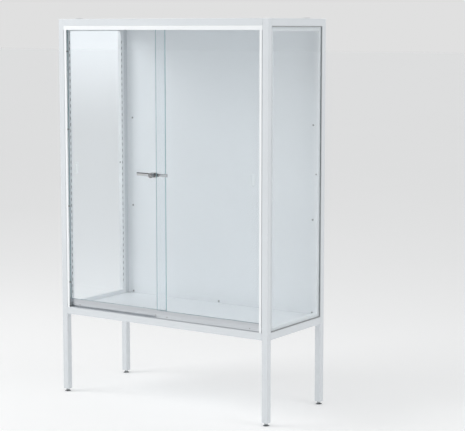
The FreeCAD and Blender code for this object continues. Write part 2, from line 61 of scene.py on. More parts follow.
# ------------------------------------------------------------------ materials
class Shader:
    """A material being built: short calls that add nodes and return their output sockets."""

    def __init__(self, name):
        self.material = bpy.data.materials.new(name)
        self.material.use_nodes = True
        self.tree = self.material.node_tree
        self.tree.nodes.clear()
        self.output = self.tree.nodes.new("ShaderNodeOutputMaterial")
        self.position = self.add("ShaderNodeTexCoord").outputs["Object"]

    def add(self, kind, inputs=None, **settings):
        node = self.tree.nodes.new(kind)
        for key, value in settings.items():
            setattr(node, key, value)
        for key, value in (inputs or {}).items():
            if isinstance(value, bpy.types.NodeSocket):
                self.tree.links.new(value, node.inputs[key])
            else:
                node.inputs[key].default_value = value
        return node

    def stretched(self, scale):
        """The position with each axis scaled, to stretch a texture along one of them."""
        return self.add("ShaderNodeMapping", {"Vector": self.position, "Scale": scale}).outputs["Vector"]

    def noise(self, scale, detail=2.0, roughness=0.5, vector=None):
        return self.add("ShaderNodeTexNoise", {"Vector": vector or self.position, "Scale": scale,
                                               "Detail": detail, "Roughness": roughness}).outputs["Fac"]

    def spread(self, value, low, high):
        """Noise, which mostly lies between two middling values, spread from low to high."""
        return self.add("ShaderNodeMapRange", {"Value": value, "From Min": NOISE_LOW, "From Max": NOISE_HIGH,
                                               "To Min": low, "To Max": high}).outputs["Result"]

    def tint(self, value, low, high):
        """A colour between two, by noise."""
        return self.mix(self.spread(value, 0, 1), low, high)

    def mix(self, factor, low, high):
        """One colour at factor 0 and the other at 1."""
        inputs = {0: factor, MIX_A: (*low, 1), MIX_B: (*high, 1)}
        return self.add("ShaderNodeMix", inputs, data_type="RGBA").outputs[MIX_RESULT]

    def ramp(self, value, start, end, low, high):
        """Goes smoothly from low to high while the value goes from start to end."""
        inputs = {"Value": value, "From Min": start, "From Max": end, "To Min": low, "To Max": high}
        return self.add("ShaderNodeMapRange", inputs, interpolation_type="SMOOTHSTEP").outputs["Result"]

    def place(self, axis):
        """The position along one axis."""
        return self.add("ShaderNodeSeparateXYZ", {"Vector": self.position}).outputs[axis]

    def bump(self, height, distance, strength, under=None):
        inputs = {"Height": height, "Distance": distance, "Strength": strength}
        if under:
            inputs["Normal"] = under
        return self.add("ShaderNodeBump", inputs).outputs["Normal"]

    def principled(self, **inputs):
        names = {key.replace("_", " "): value for key, value in inputs.items()}
        return self.add("ShaderNodeBsdfPrincipled", names).outputs["BSDF"]

    def finish(self, surface):
        self.tree.links.new(surface, self.output.inputs["Surface"])
        return self.material


def powder_coat(name, dark, light):
    """White polyester powder: a fine orange peel, a faint cloudiness and a satin gloss."""
    s = Shader(name)
    peel = s.noise(420, detail=3.0, roughness=0.55)
    grain = s.noise(2600, detail=1.0)
    return s.finish(s.principled(
        Base_Color=s.tint(s.noise(7, detail=3.0), dark, light), Roughness=s.spread(peel, 0.34, 0.46),
        Normal=s.bump(grain, 0.00002, 0.4, s.bump(peel, 0.00010, 0.5)), IOR=1.5,
        Coat_Weight=0.15, Coat_Roughness=0.3))


def brushed_aluminium():
    """Clear-anodised aluminium, drawn along X."""
    s = Shader("satin_aluminium")
    lines = s.noise(1.0, detail=4.0, roughness=0.7, vector=s.stretched((6, 1500, 1500)))
    return s.finish(s.principled(
        Base_Color=s.tint(lines, (0.56, 0.585, 0.615), (0.66, 0.685, 0.71)), Metallic=1.0,
        Roughness=s.spread(s.noise(9), 0.33, 0.42), Normal=s.bump(lines, 0.00003, 0.5)))


def plated(name, dark, light, rough):
    """Plated metal, with a faint uneven polish."""
    s = Shader(name)
    cloud = s.noise(300, detail=3.0)
    return s.finish(s.principled(
        Base_Color=s.tint(cloud, dark, light), Metallic=1.0,
        Roughness=s.spread(cloud, rough * 0.75, rough * 1.3), Normal=s.bump(cloud, 0.00004, 0.3)))


REFLECTION_BAND_H, REFLECTION_BAND_SOFT = 3.6 * MM, 0.4 * MM      # the painted dark reflection along the top of the lock bar, and its soft edge


def chrome_with_painted_reflection(name, top, fade_start, fade_end):
    """Chrome with a painted dark reflection along its top, which fades out between two places in X."""
    s = Shader(name)
    upper = s.ramp(s.place("Z"), top - REFLECTION_BAND_H, top - REFLECTION_BAND_H + REFLECTION_BAND_SOFT, 0, 1)
    clear_of_end = s.ramp(s.place("X"), fade_start, fade_end, 1, 0)
    band = s.add("ShaderNodeMath", {0: upper, 1: clear_of_end}, operation="MULTIPLY").outputs["Value"]
    cloud = s.noise(300, detail=3.0)
    return s.finish(s.principled(
        Base_Color=s.mix(band, (0.66, 0.67, 0.685), (0.09, 0.09, 0.095)), Metallic=1.0,
        Roughness=s.spread(cloud, 0.10, 0.16), Normal=s.bump(cloud, 0.00004, 0.2)))


def plastic(name, dark, light, rough):
    """Moulded plastic or vinyl with a fine mould texture."""
    s = Shader(name)
    texture = s.noise(1200)
    return s.finish(s.principled(
        Base_Color=s.tint(s.noise(30), dark, light), Roughness=s.spread(texture, rough * 0.85, rough * 1.15),
        Normal=s.bump(texture, 0.00006, 0.5)))


def clear_glass():
    """Float glass. Lamps shine straight through it, so that what stands behind it is lit."""
    s = Shader("clear_float_glass")
    body = s.principled(Base_Color=(0.957, 0.977, 0.99, 1), Roughness=0.0, IOR=1.5, Transmission_Weight=1.0,
                        Normal=s.bump(s.noise(5, detail=1.0), 0.0004, 0.15))
    clear = s.add("ShaderNodeBsdfTransparent", {"Color": (0.975, 0.985, 0.987, 1)}).outputs["BSDF"]
    lamp_ray = s.add("ShaderNodeLightPath").outputs["Is Shadow Ray"]
    return s.finish(s.add("ShaderNodeMixShader", {0: lamp_ray, 1: body, 2: clear}).outputs["Shader"])


def ground_glass(name, dark, light, clearness):
    """Glass ground matt: a pane's edges, where it shows its own blue-green, and the finger pulls."""
    s = Shader(name)
    grind = s.noise(1500)
    return s.finish(s.principled(
        Base_Color=s.tint(grind, dark, light), Roughness=s.spread(grind, 0.25, 0.38), IOR=1.5,
        Transmission_Weight=clearness, Normal=s.bump(grind, 0.00003, 0.5)))


FLOOR_GLOW, CARD_GLOW = 0.19, 1.05


def floor_paper():
    """White paper that gives off a little light."""
    s = Shader("studio_floor")
    return s.finish(s.principled(
        Base_Color=s.tint(s.noise(0.6), (0.875, 0.875, 0.875), (0.885, 0.885, 0.885)), Roughness=0.9,
        Emission_Color=(1, 1, 1, 1), Emission_Strength=FLOOR_GLOW))


def glow(low, high):
    """Light that fades in between two heights."""
    s = Shader("studio_glow")
    fade = s.ramp(s.place("Z"), low, high, 0, 1)
    clear = s.add("ShaderNodeBsdfTransparent").outputs["BSDF"]
    colour = {"Color": (0.97, 0.985, 1.0, 1), "Strength": CARD_GLOW}
    light = s.add("ShaderNodeEmission", colour).outputs["Emission"]
    return s.finish(s.add("ShaderNodeMixShader", {0: fade, 1: clear, 2: light}).outputs["Shader"])


# One white paint in two copies: the frame's darker as painted shade, the panels' lighter as painted light.
FRAME_WHITE_SHADED = powder_coat("white_frame_coat_painted_shade", (0.675, 0.705, 0.73), (0.695, 0.725, 0.75))
SHEET_WHITE_LIT = powder_coat("white_sheet_coat_painted_light", (0.855, 0.88, 0.90), (0.87, 0.895, 0.915))
TRIM_WHITE = powder_coat("white_trim_coat", (0.865, 0.885, 0.90), (0.88, 0.90, 0.915))
ALUMINIUM = brushed_aluminium()
GLASS = clear_glass()
EDGE = ground_glass("ground_glass_edge", (0.24, 0.46, 0.51), (0.34, 0.56, 0.60), 0.2)
FROST = ground_glass("frosted_finger_pull", (0.78, 0.84, 0.86), (0.88, 0.92, 0.93), 0.7)
# Darker than real chrome: painted dark reflections on the lock.
DARKENED_CHROME = plated("chrome_painted_dark_reflection", (0.37, 0.375, 0.385), (0.43, 0.435, 0.445), 0.12)
# The lock bar's chrome carries a painted dark reflection along its top.
BAR_CHROME_PAINTED_REFLECTION = chrome_with_painted_reflection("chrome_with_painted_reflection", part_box("lock_bar")[1][2],
                           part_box("lock_body")[0][0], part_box("lock_bar")[1][0])
FOOT_METAL = plated("foot_plate", (0.38, 0.40, 0.41), (0.52, 0.54, 0.55), 0.28)
ZINC = plated("zinc_plate", (0.36, 0.37, 0.37), (0.50, 0.50, 0.50), 0.34)
GASKET = plastic("grey_vinyl", (0.30, 0.31, 0.32), (0.35, 0.36, 0.37), 0.5)
CHANNEL = plastic("blue_grey_vinyl", (0.22, 0.33, 0.37), (0.28, 0.39, 0.43), 0.4)
NYLON = plastic("natural_nylon", (0.60, 0.61, 0.62), (0.68, 0.69, 0.70), 0.45)
BLACK = plastic("black_plastic", (0.02, 0.02, 0.022), (0.035, 0.035, 0.038), 0.4)

SLOT_MATERIAL = {"white_paint": FRAME_WHITE_SHADED, "satin_aluminium": ALUMINIUM, "clear_glass": GLASS,
                 "lock_chrome": DARKENED_CHROME, "foot_chrome": FOOT_METAL, "zinc_screw": ZINC,
                 "white_nylon": NYLON, "grey_rubber": GASKET, "dark_plastic": BLACK}
NODE_MATERIAL = {"upper_track": TRIM_WHITE, "door_jamb_left": TRIM_WHITE, "door_jamb_right": TRIM_WHITE,
                 "back_panel": SHEET_WHITE_LIT, "base_panel": SHEET_WHITE_LIT, "base_upstand": SHEET_WHITE_LIT,
                 "top_panel": SHEET_WHITE_LIT, "front_door_channel": CHANNEL, "rear_door_channel": CHANNEL,
                 "glazing_beads_left": TRIM_WHITE, "glazing_beads_right": TRIM_WHITE}
NODE_MATERIAL.update({"shelf_standard_%s_%s" % (end, side): TRIM_WHITE
                      for end, _ in ENDS for side, _ in SIDES})


def paint_cad_nodes():
    """Gives every CAD node its material, by name or else by its slot."""
    for part in frame["record"]["subparts"]:
        slots = NODES[part["node"]].data.materials
        slots.clear()
        slots.append(NODE_MATERIAL.get(part["node"], SLOT_MATERIAL[part["material_slot"]]))


# ------------------------------------------------------------------ mesh helpers
class Piece:
    """A mesh being built, which then rides on a body in place of CAD nodes."""

    def __init__(self, *materials):
        self.bm = bmesh.new()
        self.materials = materials

    def finish(self, name, body, slot, replaced, smooth_angle=35):
        """Makes the object, on its body, and hides the CAD nodes it takes the place of. Its slot is not used.
        """
        bmesh.ops.recalc_face_normals(self.bm, faces=self.bm.faces)
        mesh = bpy.data.meshes.new(name)
        self.bm.to_mesh(mesh)
        self.bm.free()
        for material in self.materials:
            mesh.materials.append(material)
        for polygon in mesh.polygons:
            polygon.use_smooth = True
        mesh.set_sharp_from_angle(angle=math.radians(smooth_angle))
        piece = bpy.data.objects.new(name, mesh)
        bpy.context.scene.collection.objects.link(piece)
        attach(piece, body)
        if replaced:
            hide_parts(*replaced)
        return piece

    def loop(self, points):
        """A closed loop of vertices and its edges."""
        verts = [self.bm.verts.new(point) for point in points]
        edges = [self.bm.edges.new((verts[i - 1], verts[i])) for i in range(len(verts))]
        return verts, edges

    def bridge(self, one, other):
        """Quads between two loops of as many vertices."""
        return [self.bm.faces.new((one[i - 1], one[i], other[i], other[i - 1])) for i in range(len(one))]

    def fill(self, *loops):
        """Flat faces inside the first loop's edges and outside the others'."""
        edges = [edge for _, loop_edges in loops for edge in loop_edges]
        return bmesh.ops.triangle_fill(self.bm, edges=edges, use_beauty=True)["geom"]

    def box(self, low, high, bevel, segments=2):
        """A box between two corners, its edges rounded. Returns its faces."""
        low, high = Vector(low), Vector(high)
        place = Matrix.Translation((low + high) / 2) @ Matrix.Diagonal((*(high - low), 1))
        verts = bmesh.ops.create_cube(self.bm, size=1, matrix=place)["verts"]
        edges = list({edge for vert in verts for edge in vert.link_edges})
        made = bmesh.ops.bevel(self.bm, geom=edges, offset=bevel, segments=segments, profile=0.5,
                               affect="EDGES")
        return list({face for vert in made["verts"] for face in vert.link_faces})

    def lathe(self, base, axis, profile, segments=32, open_top=False):
        """A turned solid: profile is (radius, height along the axis) from bottom to top.

        With open_top its last loop is returned, for a recess to be filled into."""
        side = axis.orthogonal().normalized()
        other = axis.cross(side)
        rings = []
        for radius, height in profile:
            centre = base + axis * height
            rings.append(self.loop([centre + (side * math.cos(a) + other * math.sin(a)) * radius
                                    for a in (2 * math.pi * k / segments for k in range(segments))]))
        for low, high in zip(rings, rings[1:]):
            self.bridge(low[0], high[0])
        self.bm.faces.new(rings[0][0])
        if not open_top:
            self.bm.faces.new(rings[-1][0])
        return rings[-1]

    def recess(self, rim, outlines, material=0):
        """Closes a flat rim round a recess whose walls follow the outlines down to a floor."""
        loops = [self.loop(outline) for outline in outlines]
        self.fill(rim, loops[0])
        faces = [face for low, high in zip(loops, loops[1:]) for face in self.bridge(low[0], high[0])]
        faces.append(self.bm.faces.new(loops[-1][0]))
        for face in faces:
            face.material_index = material


def arc(centre_a, centre_b, radius, start, turn, steps):
    """Points of an arc in a plane, angles in degrees."""
    return [(centre_a + radius * math.cos(math.radians(start + turn * k / steps)),
             centre_b + radius * math.sin(math.radians(start + turn * k / steps))) for k in range(steps + 1)]


# ------------------------------------------------------------------ glass
X_AXIS, Y_AXIS = 0, 1
ARRIS, FLAT_ENOUGH = 0.7 * MM, 0.99
PULL_ARC_STEPS = 14
PULL_W, PULL_H, PULL_DEPTH = 15 * MM, 46 * MM, 1.2 * MM
PULL_Z, PULL_FROM_EDGE = 913 * MM, 38 * MM
PULL_STEPS = ((0.0, 0.0), (0.6, 0.45), (1.5, 0.8), (3.0, 1.0))   # mm in from the rim, share of the depth


def pull_outline(x, y, inset):
    """A slot with round ends on a plane that faces the front."""
    radius = PULL_W / 2 - inset
    reach = PULL_H / 2 - PULL_W / 2
    points = (arc(x, PULL_Z + reach, radius, 0, 180, PULL_ARC_STEPS)
              + arc(x, PULL_Z - reach, radius, 180, 180, PULL_ARC_STEPS))
    return [(px, y, pz) for px, pz in points]


def make_pane(node, body, thin_axis, pull_x=None):
    """A pane with arrised, ground edges, and on a door a ground finger pull in its front face."""
    piece = Piece(GLASS, EDGE, FROST)
    low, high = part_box(node)
    faces = piece.box(low, high, ARRIS, segments=1)
    for face in faces:
        face.normal_update()
        face.material_index = 0 if abs(face.normal[thin_axis]) > FLAT_ENOUGH else 1
    if pull_x is not None:
        front = min(faces, key=lambda face: face.calc_center_median().y)
        rim = (list(front.verts), list(front.edges))
        bmesh.ops.delete(piece.bm, geom=[front], context="FACES_ONLY")
        piece.recess(rim, [pull_outline(pull_x, low[1] + PULL_DEPTH * share, inset * MM)
                           for inset, share in PULL_STEPS], material=2)
    piece.finish("pane_" + node, body, "clear_glass", [node])


def make_panes():
    for side, _ in SIDES:
        make_pane("side_glass_" + side, "cabinet", X_AXIS)
    for name, s in (("front_door", 1), ("rear_door", -1)):
        low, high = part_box(name + "_glass")
        closing_edge = high[0] if s > 0 else low[0]
        make_pane(name + "_glass", name, Y_AXIS, closing_edge - s * PULL_FROM_EDGE)


# ------------------------------------------------------------------ door rails
RAIL_WALL, RAIL_CORNER, RAIL_ARC_STEPS = 1.5 * MM, 0.8 * MM, 3
CAVITY_H, POCKET_DEPTH = 18 * MM, 10 * MM


def make_door_rail(name):
    """The aluminium extrusion under a door: roller cavity below, glass pocket above, rounded corners."""
    low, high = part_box(name + "_rail")
    front, rear, bottom, top = low[1], high[1], low[2], high[2]
    cavity_top, pocket_floor = bottom + CAVITY_H, top - POCKET_DEPTH
    inner_front, inner_rear = front + RAIL_WALL, rear - RAIL_WALL
    lip = RAIL_WALL / 3
    section = (arc(front + RAIL_CORNER, bottom + RAIL_CORNER, RAIL_CORNER, 270, -90, RAIL_ARC_STEPS)
               + arc(front + RAIL_CORNER, top - RAIL_CORNER, RAIL_CORNER, 180, -90, RAIL_ARC_STEPS)
               + [(inner_front - lip, top), (inner_front, top - lip)]
               + [(inner_front, pocket_floor), (inner_rear, pocket_floor)]
               + [(inner_rear, top - lip), (inner_rear + lip, top)]
               + arc(rear - RAIL_CORNER, top - RAIL_CORNER, RAIL_CORNER, 90, -90, RAIL_ARC_STEPS)
               + arc(rear - RAIL_CORNER, bottom + RAIL_CORNER, RAIL_CORNER, 0, -90, RAIL_ARC_STEPS)
               + [(inner_rear, bottom), (inner_rear, cavity_top)]
               + [(inner_front, cavity_top), (inner_front, bottom)])
    piece = Piece(ALUMINIUM)
    ends = [piece.loop([(x, y, z) for y, z in section])[0] for x in (low[0], high[0])]
    piece.bridge(*ends)
    for end in ends:
        piece.bm.faces.new(end)
    piece.finish("extrusion_" + name, name, "satin_aluminium", [name + "_rail"])


AXLE_R, RIVET_R, RIVET_H, RIVET_SEAT = 1.5 * MM, 2.6 * MM, 0.35 * MM, 0.2 * MM
RIVET_DOME = ((1.0, 0.0), (0.8, 0.7), (0.4, 1.0))      # shares of its radius and height


def make_axles(name):
    """The roller axles, their ends peened into low domes on the faces of the rail."""
    low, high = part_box(name + "_axles")
    piece = Piece(ZINC)
    width = high[1] - low[1]
    dome = [(RIVET_R * r, RIVET_H * h) for r, h in RIVET_DOME]
    profile = [(r, -h) for r, h in reversed(dome)]
    profile += [(AXLE_R, RIVET_SEAT), (AXLE_R, width - RIVET_SEAT)]
    profile += [(r, width + h) for r, h in dome]
    for x in (low[0] + AXLE_R, high[0] - AXLE_R):
        piece.lathe(Vector((x, low[1], (low[2] + high[2]) / 2)), BACK, profile, segments=20)
    piece.finish("riveted_" + name + "_axles", name, "zinc_screw", [name + "_axles"])


# ------------------------------------------------------------------ standards
SLOT_FROM_EDGE = 5 * MM
# Black strips behind the slots: painted shade inside the standards.
SHADE_STRIP_HALF_W, SHADE_STRIP_SETBACK, SHADE_STRIP_THICK, SHADE_STRIP_CORNER = 3.5 * MM, 1.4 * MM, 0.6 * MM, 0.1 * MM
SHADE_STRIP_BOTTOM, SHADE_STRIP_TOP = 395 * MM, 1419 * MM


def make_slot_shade_strips():
    """Black strips inside the standards, painted shade that keeps the slots dark. They are no real part."""
    piece = Piece(BLACK)
    for end, e in ENDS:
        for side, s in SIDES:
            low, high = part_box("shelf_standard_%s_%s" % (end, side))
            face_x = low[0] if s > 0 else high[0]
            slot_y = (low[1] if e > 0 else high[1]) + e * SLOT_FROM_EDGE
            xs = sorted(face_x + s * depth for depth in (SHADE_STRIP_SETBACK, SHADE_STRIP_SETBACK + SHADE_STRIP_THICK))
            piece.box((xs[0], slot_y - SHADE_STRIP_HALF_W, SHADE_STRIP_BOTTOM),
                      (xs[1], slot_y + SHADE_STRIP_HALF_W, SHADE_STRIP_TOP), SHADE_STRIP_CORNER, segments=1)
    piece.finish("slot_shade_strips", "cabinet", "dark_plastic", [])


# ------------------------------------------------------------------ screws
# Screws in mm: head radius, head height, shank radius, shank length.
PANEL_SCREW = (4.0, 2.2, 2.0, 4.6)
BASE_SCREW = (4.0, 0.0, 2.0, 7.2)
STANDARD_SCREW = (3.2, 1.8, 1.6, 8.0)
JAMB_SCREW = (3.4, 0.0, 1.8, 9.2)
PANEL_SCREW_X, PANEL_SCREW_ROWS = 437 * MM, (725 * MM, 1093 * MM, 1461 * MM)
UPSTAND_SCREW_RISE = 9 * MM
STANDARD_SCREW_X, STANDARD_SCREW_Z = 474 * MM, 907 * MM
JAMB_SCREW_Y = -191.5 * MM      # from the middle of the cabinet
JAMB_SCREW_ROWS = (450 * MM, 757.5 * MM, 1065.5 * MM, 1373 * MM)

# Shares of the head's radius and height.
HEAD_DOME = ((1.0, 0.35), (0.96, 0.6), (0.86, 0.85), (0.72, 0.97), (0.62, 1.0))
POINT_R, POINT_RISE = 0.7, 0.3      # shares of the shank's radius
FLAT_ARRIS, FLAT_TOP = 0.05 * MM, 0.985      # its depth, and the share of the head's radius above it
RECESS_DEPTH, RECESS_ARM, RECESS_WIDTH = 0.35, 0.5, 0.13      # shares of the head's radius
RECESS_FLOOR = 0.7      # size of the floor as a share of the mouth

# The caps over the fixings of the top panel: shares of radius and height, and places from the middle.
CAP_DOME = ((1.0, 0.3), (0.97, 0.6), (0.9, 0.85), (0.8, 0.97), (0.7, 1.0))
CAP_R, CAP_PIN_R, CAP_PIN_L = 11.5 * MM, 2 * MM, 8 * MM
RAIL_CAP_X, SIDE_CAP = 400 * MM, (477.5 * MM, 87 * MM)


def cross_outline(centre, out, span, width):
    """The plus shape of a cross recess."""
    side = out.orthogonal().normalized()
    other = out.cross(side)
    points = []
    for quarter in range(4):
        for a, b in ((span, -width), (span, width), (width, width)):
            for _ in range(quarter):
                a, b = -b, a
            points.append(centre + side * a + other * b)
    return points


def add_screw(piece, seat, out, head_r, head_h, shank_r, shank_l, flat=False):
    """A cross-recessed screw: a domed head on the seat, or a flat one sunk level with it."""
    top = 0.0 if flat else head_h
    profile = [(shank_r * POINT_R, -shank_l), (shank_r, -shank_l + shank_r * POINT_RISE)]
    if flat:
        profile += [(shank_r, shank_r - head_r), (head_r, -FLAT_ARRIS), (head_r * FLAT_TOP, 0.0)]
    else:
        profile += [(shank_r, 0), (head_r, 0)] + [(head_r * r, head_h * h) for r, h in HEAD_DOME]
    rim = piece.lathe(seat, out, profile, segments=28, open_top=True)
    depth, arm, width = head_r * RECESS_DEPTH, head_r * RECESS_ARM, head_r * RECESS_WIDTH
    piece.recess(rim, [cross_outline(seat + out * (top - share * depth), out, arm * scale, width * scale)
                       for share, scale in ((0, 1), (1, RECESS_FLOOR))])


def make_screw_set(node, positions, out_of, sizes, flat=False):
    """The screws of one CAD node. out_of says which way each head faces."""
    piece = Piece(ZINC)
    for position in positions:
        add_screw(piece, Vector(position), out_of(position), *[size * MM for size in sizes], flat=flat)
    piece.finish("cross_head_" + node, "cabinet", "zinc_screw", [node])


def make_screws():
    panel_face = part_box("back_panel")[0][1]
    upstand_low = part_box("base_upstand")[0]
    seats = [(s * PANEL_SCREW_X, panel_face, z) for _, s in SIDES for z in PANEL_SCREW_ROWS]
    seats += [(k * PANEL_SCREW_X, upstand_low[1], upstand_low[2] + UPSTAND_SCREW_RISE) for k in (-1, 0, 1)]
    make_screw_set("back_panel_screws", seats, lambda p: -BACK, PANEL_SCREW)

    low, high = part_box("base_panel_screws")
    screw_x = high[0] - BASE_SCREW[0] * MM
    seats = [(s * screw_x, (low[1] + high[1]) / 2, high[2]) for _, s in SIDES]
    make_screw_set("base_panel_screws", seats, lambda p: UP, BASE_SCREW, flat=True)

    seats = []
    for end, e in ENDS:
        for side, s in SIDES:
            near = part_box("shelf_standard_%s_%s" % (end, side))[0 if e > 0 else 1][1]
            seats.append((s * STANDARD_SCREW_X, near, STANDARD_SCREW_Z))
    make_screw_set("standard_screws", seats, lambda p: -BACK if p[1] > ROW_SHIFT else BACK, STANDARD_SCREW)

    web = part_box("jamb_screws")[1][0] - JAMB_SCREW[3] * MM
    seats = [(s * web, JAMB_SCREW_Y + ROW_SHIFT, z) for _, s in SIDES for z in JAMB_SCREW_ROWS]
    make_screw_set("jamb_screws", seats, lambda p: -RIGHT if p[0] > 0 else RIGHT, JAMB_SCREW, flat=True)


def make_buttons():
    """The low round caps over the fixings of the top panel."""
    piece = Piece(NYLON)
    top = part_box("top_panel")[1][2]
    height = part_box("top_panel_buttons")[1][2] - top
    profile = [(CAP_PIN_R, -CAP_PIN_L), (CAP_PIN_R, 0), (CAP_R, 0)]
    profile += [(CAP_R * r, height * h) for r, h in CAP_DOME]
    post_low, post_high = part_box("post_rear_left")
    rail_y = (post_low[1] + post_high[1]) / 2 - ROW_SHIFT
    for _, s in SIDES:
        for x, y in ((RAIL_CAP_X, rail_y), SIDE_CAP):
            piece.lathe(Vector((s * x, s * y + ROW_SHIFT, top)), UP, profile, segments=40)
    piece.finish("caps_top_panel", "cabinet", "white_nylon", ["top_panel_buttons"])


# ------------------------------------------------------------------ feet
STEM_R, THREAD_DEPTH, THREAD_PITCH = 4 * MM, 0.6 * MM, 1.25 * MM
STEM_TIP_H, STEM_TIP_SHARE = 0.4 * MM, 0.6
THREAD_SHAPE = ((1, 0.1), (0, 0.5), (0, 0.6))      # depth and height of its corners, as shares
NUT_R, NUT_TOP, NUT_CHAMFER, NUT_END_SHARE = 7.5 * MM, 10.5 * MM, 0.6 * MM, 0.90
FOOT_RIM = ((1.0, 0.0), (0.2, 0.3), (0.0, 0.9), (0.0, 1.8), (0.3, 2.3))      # mm in from the widest, mm up
NECK_R, BELL_BOTTOM, BELL_TOP = 6.0 * MM, 2.5 * MM, 6.5 * MM
BELL_INSET, BELL_POWER, BELL_STEPS = 0.8 * MM, 2.2, 5


def make_foot(name):
    """A turned bell foot with a hexagon on top and a threaded stem."""
    low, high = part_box(name)
    centre = Vector(((low[0] + high[0]) / 2, (low[1] + high[1]) / 2, low[2]))
    radius = (high[0] - low[0]) / 2
    piece = Piece(FOOT_METAL)
    bell = [(radius - inset * MM, height * MM) for inset, height in FOOT_RIM]
    flare = radius - BELL_INSET - NECK_R
    bell += [(NECK_R + flare * (1 - t) ** BELL_POWER, BELL_BOTTOM + (BELL_TOP - BELL_BOTTOM) * t)
             for t in (k / BELL_STEPS for k in range(BELL_STEPS + 1))]
    piece.lathe(centre, UP, bell, segments=48)

    def hexagon(scale, z):
        reach = NUT_R * scale
        corners = [math.radians(60 * k) for k in range(6)]
        return [centre + Vector((reach * math.cos(a), reach * math.sin(a), z)) for a in corners]

    rings = [piece.loop(hexagon(scale, z))[0] for scale, z in (
        (NUT_END_SHARE, BELL_TOP), (1.0, BELL_TOP + NUT_CHAMFER),
        (1.0, NUT_TOP - NUT_CHAMFER), (NUT_END_SHARE, NUT_TOP))]
    for one, other in zip(rings, rings[1:]):
        piece.bridge(one, other)
    piece.bm.faces.new(rings[0])
    piece.bm.faces.new(rings[-1])

    thread = [(STEM_R - THREAD_DEPTH, NUT_TOP)]
    turns = int((high[2] - low[2] - NUT_TOP - THREAD_PITCH) / THREAD_PITCH)
    for turn in range(turns):
        z = NUT_TOP + THREAD_PITCH * turn
        thread += [(STEM_R - THREAD_DEPTH * d, z + THREAD_PITCH * h) for d, h in THREAD_SHAPE]
    thread += [(STEM_R - THREAD_DEPTH, high[2] - STEM_TIP_H), (STEM_R * STEM_TIP_SHARE, high[2])]
    piece.lathe(centre, UP, thread, segments=24)
    piece.finish("turned_" + name, name, "foot_chrome", [name])


# ------------------------------------------------------------------ lock
TOOTH_PITCH, TOOTH_DEPTH, TOOTH_SLOPE = 3 * MM, 1.3 * MM, 0.8
BAR_THICK, BAR_EDGE, BAR_TAPER = 2 * MM, 0.35 * MM, 0.08
HOOK_WEB, HOOK_REACH = 2.5 * MM, 18 * MM
HOOK_OVERLAP, HOOK_INSET, WEB_CORNER, HOOK_CORNER = 0.2 * MM, 0.05 * MM, 0.3 * MM, 0.4 * MM
BAR_RIVET = ((4.2, 0.0), (4.2, 0.2), (3.7, 0.7), (2.6, 1.05), (1.2, 1.2))      # radius and height in mm
BAR_RIVET_X, BAR_RIVET_H, BAR_RIVET_GAP = 3 * MM, 1.2 * MM, 0.01 * MM

BARREL_L, CASE_HALF_H, CASE_CORNER, CASE_SOFT = 20 * MM, 9.5 * MM, 1.6 * MM, 0.7 * MM
SOFT_SHARE = 0.3      # the middle step in the rounding of the case's ends
CASE_ARC_STEPS = 4
BAR_SLACK = 0.3 * MM
BARREL_R, BORE_R = 10 * MM, 6.05 * MM
BARREL_FOOT = ((CASE_HALF_H, -0.2 * MM), (CASE_HALF_H, 0.8 * MM), (BARREL_R, 1.6 * MM))
# In mm: how much narrower than the barrel or wider than the bore, and how far back from the front end.
BARREL_FRONT = ((0.0, 5.0), (0.5, 4.6), (0.5, 4.0), (0.0, 3.6), (0.0, 1.2), (0.4, 0.4), (1.2, 0.0))
BORE_MOUTH = ((1.0, 0.0), (0.2, 0.6), (0.0, 0.9), (0.0, 12.0))

PLUG_TAIL_R, PLUG_TAIL_L, PLUG_CHAMFER = 2 * MM, 5.8 * MM, 0.5 * MM
KEY_HALF_W, KEY_HALF_H, KEY_DEPTH = 0.7 * MM, 3.5 * MM, 9 * MM
KEY_OUTLINE = ((-1, -1), (1, -1), (1, 0.2), (0.3, 0.35), (1, 0.5), (1, 1), (-1, 1))


def make_lock_bar():
    """The toothed bar, with a bevelled face, hooked round the edge of the rear door."""
    low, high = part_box("lock_bar")
    web = high[0] - HOOK_WEB
    front = low[1] + BAR_RIVET_H
    rear = front + BAR_THICK
    bottom, top = low[2], high[2]
    middle = (bottom + top) / 2
    last_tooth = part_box("lock_body")[0][0]
    piece = Piece(BAR_CHROME_PAINTED_REFLECTION)
    outline = [(low[0], top), (low[0], bottom)]
    x = low[0] + TOOTH_PITCH
    while x + TOOTH_PITCH < last_tooth:
        outline += [(x, bottom), (x, bottom + TOOTH_DEPTH), (x + TOOTH_PITCH * TOOTH_SLOPE, bottom)]
        x += TOOTH_PITCH
    outline += [(high[0], bottom), (high[0], top)]

    loops = [piece.loop([(px, y, middle + (pz - middle) * (1 - by)) for px, pz in outline]) for y, by in (
        (front, BAR_TAPER), (front + BAR_EDGE, 0.0), (rear - BAR_EDGE, 0.0), (rear, BAR_TAPER))]
    for one, other in zip(loops, loops[1:]):
        piece.bridge(one[0], other[0])
    piece.bm.faces.new(loops[0][0])
    piece.bm.faces.new(loops[-1][0])
    piece.box((web, rear - HOOK_OVERLAP, bottom), (high[0], high[1], top), WEB_CORNER)
    piece.box((high[0] - HOOK_REACH, high[1] - BAR_THICK, bottom), (high[0] - HOOK_INSET, high[1], top),
              HOOK_CORNER)
    rivet = [(radius * MM, height * MM) for radius, height in BAR_RIVET]
    piece.lathe(Vector((BAR_RIVET_X, front + BAR_RIVET_GAP, middle)), -BACK, rivet, segments=28)
    piece.finish("toothed_lock_bar", "rear_door", "lock_chrome", ["lock_bar"], smooth_angle=25)


